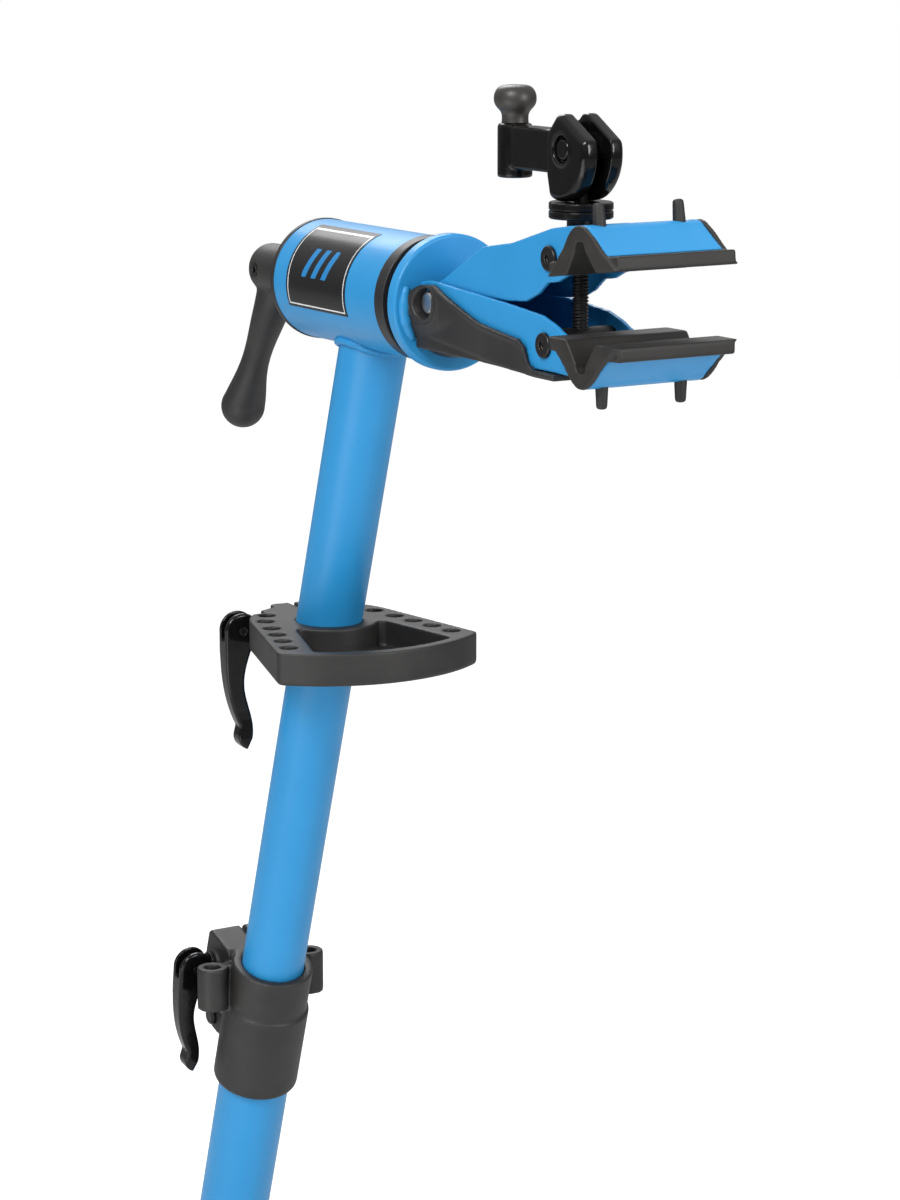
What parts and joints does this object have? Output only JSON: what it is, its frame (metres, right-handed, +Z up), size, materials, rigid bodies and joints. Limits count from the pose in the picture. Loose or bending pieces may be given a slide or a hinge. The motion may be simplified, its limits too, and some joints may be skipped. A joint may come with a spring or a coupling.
{
  "type": "bicycle repair stand",
  "caption": "Folding bicycle repair stand: leaning telescopic mast, splayed legs, tool tray, and a rotating head with a screw-and-cam jaw clamp.",
  "frame": {"origin": "on the floor, at the middle of the rear foot's sole, where the mast's axis meets the floor", "axes": "+Z up, +X level from the mast towards the jaws, +Y to the stand's left; the mast leans 18 degrees from +Z towards +X"},
  "size_m": [0.7862, 0.753, 1.4366],
  "materials": {
    "blue_powder_coat": "satin",
    "gloss_black_paint": "gloss",
    "black_oxide_steel": "satin",
    "zinc_plated_steel": "satin",
    "black_rubber": "matte",
    "matte_black_plastic": "matte",
    "grey_black_plastic": "satin",
    "bearing_plastic": "satin",
    "label_film": "gloss"
  },
  "bodies": {
    "base": {"lower_mast": "blue_powder_coat", "rear_foot": "black_rubber", "height_collar": "matte_black_plastic", "collar_clamp_screw": "black_oxide_steel", "collar_clamp_nut": "black_oxide_steel", "collar_skewer": "black_oxide_steel", "collar_skewer_nut": "black_oxide_steel", "collar_lever_pin": "black_oxide_steel", "collar_lever_washer": "black_oxide_steel", "leg_hub": "matte_black_plastic", "leg_hub_screws": "black_oxide_steel", "leg_pivot_bolts": "black_oxide_steel"},
    "collar_quick_release": {"collar_lever": "gloss_black_paint"},
    "left_leg_and_foot": {"left_leg": "blue_powder_coat", "left_foot": "black_rubber"},
    "right_leg_and_foot": {"right_leg": "blue_powder_coat", "right_foot": "black_rubber"},
    "upper_section": {"upper_mast": "blue_powder_coat", "mast_glide": "bearing_plastic", "head_tube": "blue_powder_coat", "head_label": "label_film", "front_bearing": "bearing_plastic", "rear_bearing": "bearing_plastic"},
    "tray": {"tool_tray": "matte_black_plastic", "tray_skewer": "black_oxide_steel", "tray_skewer_nut": "black_oxide_steel", "tray_lever_pin": "black_oxide_steel", "tray_lever_washer": "black_oxide_steel"},
    "tray_quick_release": {"tray_lever": "gloss_black_paint"},
    "clamp": {"clamp_disk": "blue_powder_coat", "thrust_ring": "bearing_plastic", "spindle": "zinc_plated_steel", "rear_washer": "zinc_plated_steel", "lower_arm": "blue_powder_coat", "arm_guard": "matte_black_plastic", "lower_pad": "black_rubber", "jaw_pivot_bolt": "zinc_plated_steel", "jaw_pivot_nut": "zinc_plated_steel"},
    "handle": {"tension_handle": "matte_black_plastic", "handle_nut": "zinc_plated_steel", "handle_set_screw": "black_oxide_steel"},
    "upper_jaw": {"upper_arm": "blue_powder_coat", "upper_pad": "black_rubber"},
    "upper_trunnion": {"upper_barrel": "black_oxide_steel", "upper_barrel_screws": "black_oxide_steel"},
    "lower_trunnion": {"lower_barrel": "black_oxide_steel", "lower_barrel_screws": "black_oxide_steel"},
    "thrust_stack": {"thrust_sleeve": "black_oxide_steel", "lower_washer": "gloss_black_paint", "upper_washer": "gloss_black_paint"},
    "rod": {"threaded_rod": "black_oxide_steel", "cam_pin": "gloss_black_paint"},
    "cam": {"cam_lever": "gloss_black_paint", "knob_screw": "zinc_plated_steel"},
    "knob": {"crank_knob": "grey_black_plastic"}
  },
  "joints": [
    {"name": "height_slide", "type": "slide", "parent": "base", "child": "upper_section", "axis": [0.309, 0, 0.9511], "range_m": [-0.14, 0.16]},
    {"name": "collar_lever_flip", "type": "hinge", "parent": "base", "child": "collar_quick_release", "pos_m": [0.2172, -0.04295, 0.79468], "axis": [-0.9877, 0, 0.1564], "range_deg": [0, 150]},
    {"name": "left_leg_fold", "type": "hinge", "parent": "base", "child": "left_leg_and_foot", "pos_m": [0.13677, 0.02361, 0.271], "axis": [0.4318, -0.891, -0.1403], "range_deg": [0, 95.5]},
    {"name": "right_leg_fold", "type": "hinge", "parent": "base", "child": "right_leg_and_foot", "pos_m": [0.13677, -0.02361, 0.271], "axis": [-0.4318, -0.891, 0.1403], "range_deg": [0, 95.5]},
    {"name": "tray_slide", "type": "slide", "parent": "upper_section", "child": "tray", "axis": [0.309, 0, 0.9511], "range_m": [-0.02, 0.12]},
    {"name": "tray_lever_flip", "type": "hinge", "parent": "tray", "child": "tray_quick_release", "pos_m": [0.29535, -0.04149, 1.057], "axis": [-0.9969, 0.0785, 0], "range_deg": [0, 150]},
    {"name": "clamp_rotation", "type": "hinge", "parent": "upper_section", "child": "clamp", "pos_m": [0.4224, 0, 1.3], "axis": [1, 0, 0], "continuous": true},
    {"name": "handle_turn", "type": "hinge", "parent": "clamp", "child": "handle", "pos_m": [0.3024, 0, 1.3], "axis": [1, 0, 0], "range_deg": [-270, 0]},
    {"name": "jaw_swing", "type": "hinge", "parent": "clamp", "child": "upper_jaw", "pos_m": [0.5254, 0, 1.303], "axis": [0, 1, 0], "range_deg": [-8.1, 8.1]},
    {"name": "upper_trunnion_tilt", "type": "hinge", "parent": "upper_jaw", "child": "upper_trunnion", "pos_m": [0.6529, 0, 1.341], "axis": [0, 1, 0], "range_deg": [-1.9, 1.9]},
    {"name": "lower_trunnion_tilt", "type": "hinge", "parent": "clamp", "child": "lower_trunnion", "pos_m": [0.6529, 0, 1.291], "axis": [0, 1, 0], "range_deg": [-6.3, 6.3]},
    {"name": "rod_travel", "type": "slide", "parent": "lower_trunnion", "child": "thrust_stack", "axis": [0, 0, 1], "range_m": [-0.01801, 0.01801]},
    {"name": "crank_spin", "type": "hinge", "parent": "thrust_stack", "child": "rod", "pos_m": [0.6529, 0, 1.341], "axis": [0, 0, 1], "range_deg": [-3240, 3240]},
    {"name": "cam_flip", "type": "hinge", "parent": "rod", "child": "cam", "pos_m": [0.6529, 0, 1.403], "axis": [0, 1, 0], "range_deg": [0, 120]},
    {"name": "knob_spin", "type": "hinge", "parent": "cam", "child": "knob", "pos_m": [0.5809, 0, 1.42], "axis": [0, 0, 1], "continuous": true}
  ],
  "couplings": [
    {"joint": "jaw_swing", "follows": "crank_spin", "ratio": -0.0024969},
    {"joint": "lower_trunnion_tilt", "follows": "crank_spin", "ratio": -0.0019226},
    {"joint": "upper_trunnion_tilt", "follows": "crank_spin", "ratio": 0.0005743},
    {"joint": "rod_travel", "follows": "crank_spin", "m_per_rad": 0.00031831}
  ]
}
